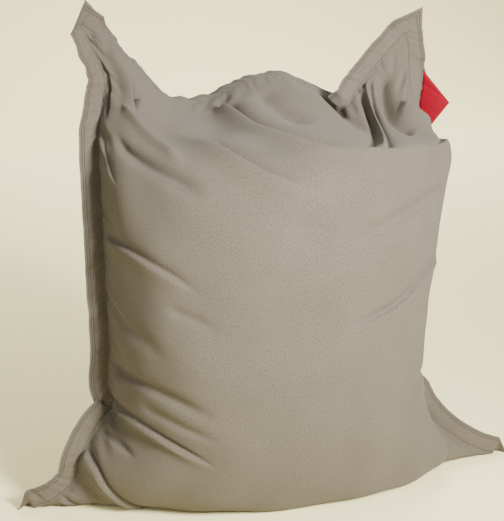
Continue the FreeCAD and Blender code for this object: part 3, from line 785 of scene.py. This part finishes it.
class Paint:
    """Short names for a material's nodes. A value is a number, a colour or another node's output."""

    def __init__(self, material):
        self.tree = material.node_tree
        self.shader = self.tree.nodes["Principled BSDF"]
        self.places = self.tree.nodes.new("ShaderNodeTexCoord").outputs["Object"]

    def node(self, kind, inputs, output=0, **settings):
        made = self.tree.nodes.new(kind)
        for key, value in settings.items():
            setattr(made, key, value)
        for key, value in inputs.items():
            if isinstance(value, bpy.types.NodeSocket):
                self.tree.links.new(value, made.inputs[key])
            else:
                made.inputs[key].default_value = value
        return made.outputs[output]

    def math(self, operation, a, b=0.0):
        return self.node("ShaderNodeMath", {0: a, 1: b}, operation=operation)

    def stretched(self, vector, scale):
        return self.node("ShaderNodeMapping", {"Vector": vector, "Scale": scale})

    def noise(self, vector, scale, detail=2.0):
        return self.node("ShaderNodeTexNoise", {"Vector": vector, "Scale": scale, "Detail": detail}, "Fac")

    def bands(self, vector, period, direction):
        return self.node("ShaderNodeTexWave", {"Vector": vector, "Scale": 0.314 / period}, "Fac",
                         wave_type="BANDS", bands_direction=direction)

    def between(self, value, low, high, start, end):
        return self.node("ShaderNodeMapRange", {0: value, 1: start, 2: end, 3: low, 4: high})

    def mix(self, share, first, second, blend="MIX"):
        made = self.tree.nodes.new("ShaderNodeMix")
        made.data_type, made.blend_type = "RGBA", blend
        for key, value in ((0, share), (6, first), (7, second)):
            if isinstance(value, bpy.types.NodeSocket):
                self.tree.links.new(value, made.inputs[key])
            else:
                made.inputs[key].default_value = value
        return made.outputs[2]

    def bump(self, height, distance, strength=1.0, under=None):
        inputs = {"Height": height, "Distance": distance, "Strength": strength}
        if under is not None:
            inputs["Normal"] = under
        return self.node("ShaderNodeBump", inputs)

    def apply(self, **links):
        for name, value in links.items():
            self.tree.links.new(value, self.shader.inputs[name.replace("_", " ")])


def canvas_material():
    """Taupe polyester canvas: a heathered plain weave, with stitched seams and a paler worn hem edge."""
    material = new_material("taupe_canvas", CANVAS, 0.88, sheen=0.05, specular=0.2)
    paint = Paint(material)
    cut = paint.node("ShaderNodeUVMap", {}, uv_map="cut")
    weft = paint.noise(paint.stretched(cut, (160, 1100, 1)), 1.0, 3.0)
    warp = paint.noise(paint.stretched(cut, (1100, 160, 1)), 1.0, 3.0)
    heather = paint.between(paint.math("ADD", weft, warp), 0.74, 1.26, 0.70, 1.30)
    grain = paint.between(paint.noise(cut, 280, 2.0), 0.78, 1.22, 0.3, 0.7)
    cloud = paint.between(paint.noise(cut, 7, 3.0), 0.95, 1.05, 0.3, 0.7)
    tone = paint.math("MULTIPLY", paint.math("MULTIPLY", heather, grain), cloud)
    shade = paint.node("ShaderNodeCombineColor", {0: tone, 1: tone, 2: tone})
    colour = paint.mix(1.0, (*CANVAS, 1), shade, "MULTIPLY")

    axes = paint.tree.nodes.new("ShaderNodeSeparateXYZ")
    paint.tree.links.new(cut, axes.inputs[0])
    across = paint.math("SUBTRACT", HALF + HEM, paint.math("ABSOLUTE", axes.outputs[0]))
    upward = paint.math("MINIMUM", paint.math("ADD", axes.outputs[1], HEM),
                        paint.math("SUBTRACT", PANEL_HEIGHT + HEM, axes.outputs[1]))
    edge = paint.math("MINIMUM", across, upward)
    rows = None
    for place in STITCH_ROWS:
        away = paint.math("ABSOLUTE", paint.math("SUBTRACT", edge, place))
        row = paint.between(away, 1.0, 0.0, 0.0006, 0.0016)
        rows = row if rows is None else paint.math("MAXIMUM", rows, row)
    run = paint.math("ADD", axes.outputs[0], axes.outputs[1])
    dash = paint.between(paint.math("SINE", paint.math("MULTIPLY", run, 2 * math.pi / STITCH_LENGTH)),
                         0.45, 1.0, -0.9, -0.3)
    colour = paint.mix(paint.math("MULTIPLY", paint.math("MULTIPLY", rows, dash), 0.8), colour, (*THREAD, 1))
    worn = paint.math("MULTIPLY", paint.between(edge, 1.0, 0.0, 0.0, 0.004), paint.noise(cut, 60, 3.0))
    colour = paint.mix(paint.math("MULTIPLY", worn, 0.5), colour, (*WORN, 1))
    threads = paint.math("MULTIPLY", paint.bands(cut, THREAD_PITCH, "X"), paint.bands(cut, THREAD_PITCH, "Y"))
    weave = paint.bump(threads, 0.0004, 0.5)
    seams = paint.bump(paint.math("SUBTRACT", 1.0, rows), 0.0012, 0.8, under=weave)
    paint.apply(Base_Color=colour, Normal=seams,
                Roughness=paint.between(paint.noise(cut, 25, 2.0), 0.82, 0.94, 0.3, 0.7))
    return material


def liner_material():
    """White cotton sheeting with a fine weave and a few slack creases."""
    material = new_material("white_sheeting", (0.62, 0.61, 0.57), 0.85, sheen=0.1)
    paint = Paint(material)
    cloud = paint.noise(paint.places, 9, 4.0)
    colour = paint.mix(cloud, (0.56, 0.55, 0.51, 1), (0.68, 0.67, 0.63, 1))
    fine = paint.math("ADD", paint.bands(paint.places, 0.0009, "X"), paint.bands(paint.places, 0.0009, "Z"))
    weave = paint.bump(fine, 0.0002, 0.5)
    paint.apply(Base_Color=colour, Normal=paint.bump(cloud, 0.006, 0.5, under=weave),
                Roughness=paint.between(cloud, 0.8, 0.92, 0.3, 0.7))
    return material


def bead_material():
    """Loose white foam beads, 3 to 6 mm across, with painted shade in the gaps between them."""
    material = new_material("foam_beads", (0.80, 0.80, 0.78), 0.55)
    paint = Paint(material)
    cell = paint.node("ShaderNodeTexVoronoi", {"Vector": paint.places, "Scale": 220.0}, "Distance")
    gap = paint.between(cell, 0.0, 1.0, 0.35, 0.75)
    # painted shade: the colour darkens from each bead's middle to the gaps between beads, where shade falls
    colour = paint.mix(gap, (0.84, 0.84, 0.82, 1), (0.42, 0.42, 0.40, 1))
    paint.apply(Base_Color=colour, Normal=paint.bump(paint.math("SUBTRACT", 1.0, cell), 0.002, 0.9),
                Roughness=paint.between(paint.noise(paint.places, 300), 0.45, 0.65, 0.3, 0.7))
    return material


def tag_material():
    """Plain red satin label, woven close and a little uneven in colour."""
    material = new_material("red_label", (0.15, 0.0010, 0.0080), 0.7, specular=0.05)
    paint = Paint(material)
    twill = paint.bands(paint.places, 0.0005, "DIAGONAL")
    threads = paint.math("ADD", twill, paint.bands(paint.places, 0.0008, "Z"))
    cloud = paint.noise(paint.places, 70, 3.0)
    colour = paint.mix(cloud, (0.13, 0.0008, 0.0070, 1), (0.17, 0.0012, 0.0090, 1))
    paint.apply(Base_Color=colour, Normal=paint.bump(threads, 0.00015, 0.4),
                Roughness=paint.between(cloud, 0.48, 0.62, 0.3, 0.7))
    return material


def tape_material():
    """Taupe zip tape: a dense twill."""
    material = new_material("zip_tape_twill", (0.17, 0.15, 0.12), 0.85, sheen=0.15)
    paint = Paint(material)
    twill = paint.bands(paint.places, 0.0009, "DIAGONAL")
    cloud = paint.noise(paint.places, 120, 3.0)
    colour = paint.mix(paint.math("MULTIPLY", twill, cloud), (0.13, 0.115, 0.092, 1), (0.21, 0.185, 0.15, 1))
    paint.apply(Base_Color=colour, Normal=paint.bump(twill, 0.0002, 0.6),
                Roughness=paint.between(cloud, 0.78, 0.92, 0.3, 0.7))
    return material


def coil_material():
    """Moulded nylon coil, ribbed tooth by tooth, with painted shade in the grooves between the teeth."""
    material = new_material("zip_coil_nylon", (0.10, 0.09, 0.075), 0.42)
    paint = Paint(material)
    teeth = paint.bands(paint.places, 0.0015, "X")
    # painted shade and light: the colour is darker in the grooves between the teeth and lighter on their ribs
    colour = paint.mix(teeth, (0.06, 0.054, 0.044, 1), (0.15, 0.135, 0.11, 1))
    paint.apply(Base_Color=colour, Normal=paint.bump(teeth, 0.0004, 0.9),
                Roughness=paint.between(paint.noise(paint.places, 200), 0.35, 0.50, 0.3, 0.7))
    return material


def metal_material():
    """Die-cast slider metal with a soft nickel finish, rubbed brighter in places."""
    material = new_material("zip_nickel", (0.58, 0.56, 0.53), 0.32, metallic=1.0)
    paint = Paint(material)
    brushed = paint.noise(paint.stretched(paint.places, (300, 300, 2600)), 1.0, 3.0)
    rubbed = paint.noise(paint.places, 160, 3.0)
    colour = paint.mix(rubbed, (0.48, 0.46, 0.43, 1), (0.66, 0.64, 0.61, 1))
    paint.apply(Base_Color=colour, Normal=paint.bump(brushed, 0.00005, 0.5),
                Roughness=paint.between(rubbed, 0.24, 0.42, 0.3, 0.7))
    return material


def finish_cad_nodes():
    """Gives the zips, which keep their CAD shape, their own materials."""
    tape, coil, metal = tape_material(), coil_material(), metal_material()
    finishes = {"tape": tape, "coil": coil, "stops": metal, "slider": metal, "pull": metal}
    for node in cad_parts:
        for word, material in finishes.items():
            if word in node:
                for held in bpy.data.objects[node].material_slots:
                    held.material = material


# ---- the studio ----
def studio():
    """A pale floor that curves up into a backdrop, soft light, and the lamps."""
    turn = [(FLOOR_FRONT, 0.0), (FLOOR_BACK, 0.0)]
    for angle in np.linspace(0.1, math.pi / 2, 14):
        turn.append((FLOOR_BACK + CURVE_RADIUS * math.sin(angle), CURVE_RADIUS * (1 - math.cos(angle))))
    turn.append((FLOOR_BACK + CURVE_RADIUS, BACKDROP_TOP))
    wide = np.linspace(-BACKDROP_HALF_WIDTH, BACKDROP_HALF_WIDTH, 8)
    rows = np.array([[(x, y, z) for x in wide] for y, z in turn])
    faces = quads(np.arange(rows[..., 0].size).reshape(rows.shape[:2]))
    backdrop = mesh_piece("backdrop", rows.reshape(-1, 3), faces)
    backdrop.data.materials.append(new_material("pale_paper", PAPER, 0.95))
    world = bpy.context.scene.world or bpy.data.worlds.new("studio")
    bpy.context.scene.world = world
    world.use_nodes = True
    world.node_tree.nodes["Background"].inputs["Color"].default_value = (*SKY, 1)
    world.node_tree.nodes["Background"].inputs["Strength"].default_value = SKY_STRENGTH
    for name, place, aim, energy, size, spread in LAMPS:
        lamp = bpy.data.lights.new(name, "AREA")
        lamp.energy = energy
        lamp.size = size
        lamp.spread = math.radians(spread)
        light = bpy.data.objects.new(name, lamp)
        light.location = place
        light.rotation_mode = "QUATERNION"
        light.rotation_quaternion = (Vector(aim) - Vector(place)).to_track_quat("-Z", "Y")
        bpy.context.scene.collection.objects.link(light)


def camera():
    """A view from a little to the left and above."""
    azimuth, elevation = math.radians(CAMERA_AZIMUTH), math.radians(CAMERA_ELEVATION)
    back = Vector((math.sin(azimuth) * math.cos(elevation), -math.cos(azimuth) * math.cos(elevation),
                   math.sin(elevation)))
    lens = bpy.data.cameras.new("camera")
    lens.lens = CAMERA_LENS
    lens.sensor_width = CAMERA_SENSOR
    eye = bpy.data.objects.new("camera", lens)
    eye.location = Vector(CAMERA_TARGET) + back * CAMERA_DISTANCE
    eye.rotation_mode = "QUATERNION"
    eye.rotation_quaternion = (-back).to_track_quat("-Z", "Y")
    bpy.context.scene.collection.objects.link(eye)
    bpy.context.scene.camera = eye


bag()
finish_cad_nodes()
studio()
camera()
